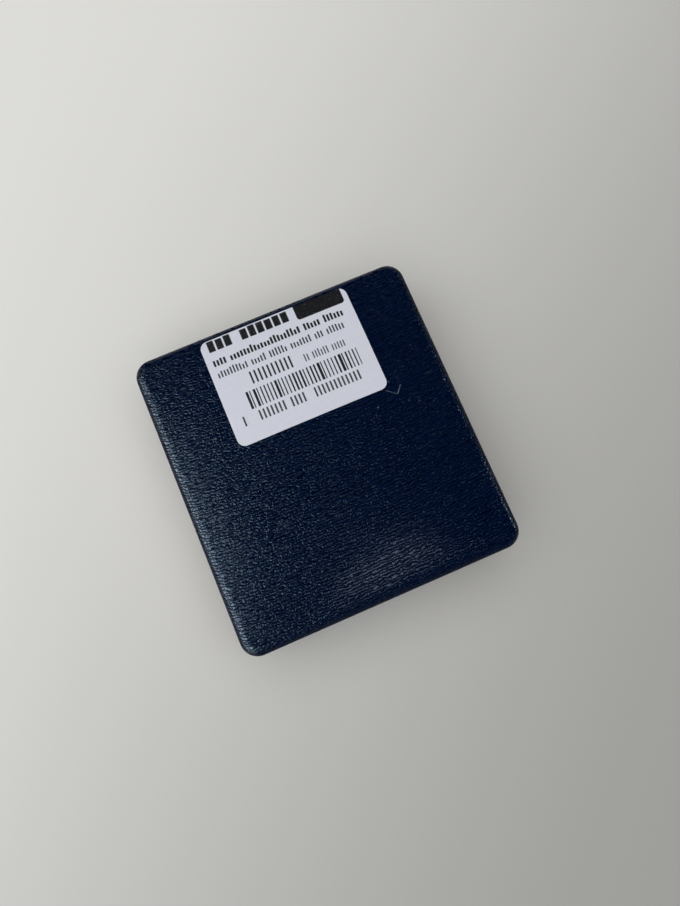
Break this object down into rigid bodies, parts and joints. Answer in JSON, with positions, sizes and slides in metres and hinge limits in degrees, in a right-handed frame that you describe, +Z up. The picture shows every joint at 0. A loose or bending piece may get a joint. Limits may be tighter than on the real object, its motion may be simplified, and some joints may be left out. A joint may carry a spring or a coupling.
{
  "type": "coin display case",
  "caption": "Snap-hinged, leatherette-covered display case with a velvet insert, a round recess for an encapsulated coin and a padded satin lid lining.",
  "frame": {"origin": "middle of the footprint, on the surface that the closed case stands on", "axes": "+Z up, +Y towards the hinge at the back, -Y towards the front where the lid opens, +X to the right seen from the front"},
  "size_m": [0.065, 0.0694, 0.0208],
  "materials": {
    "leatherette": "satin",
    "shell_plastic": "matte",
    "gilt_rim": "polished",
    "card": "matte",
    "velvet": "matte",
    "satin": "satin",
    "foam": "matte",
    "hinge_brass": "satin",
    "steel": "satin",
    "spring_steel": "gloss",
    "label_paper": "satin"
  },
  "bodies": {
    "base": {"base_cover": "leatherette", "base_shell": "shell_plastic", "base_rim": "gilt_rim", "insert_support": "card", "insert_board": "card", "insert_velvet": "velvet", "recess_wall": "velvet", "recess_floor": "card", "recess_lining": "velvet", "hinge_base_leaf": "hinge_brass", "hinge_pin": "steel", "hinge_spring": "spring_steel", "hinge_base_rivets": "steel"},
    "lid": {"lid_cover": "leatherette", "lid_shell": "shell_plastic", "lid_rim": "gilt_rim", "lid_pad_board": "card", "lid_pad_foam": "foam", "lid_pad_satin": "satin", "label": "label_paper", "hinge_lid_leaf": "hinge_brass", "hinge_lid_rivets": "steel"}
  },
  "joints": [
    {"name": "lid_hinge", "type": "hinge", "parent": "base", "child": "lid", "pos_m": [0, 0.0338, 0.0104], "axis": [-1, 0, 0], "range_deg": [0, 95], "deforming": ["hinge_spring"]}
  ]
}
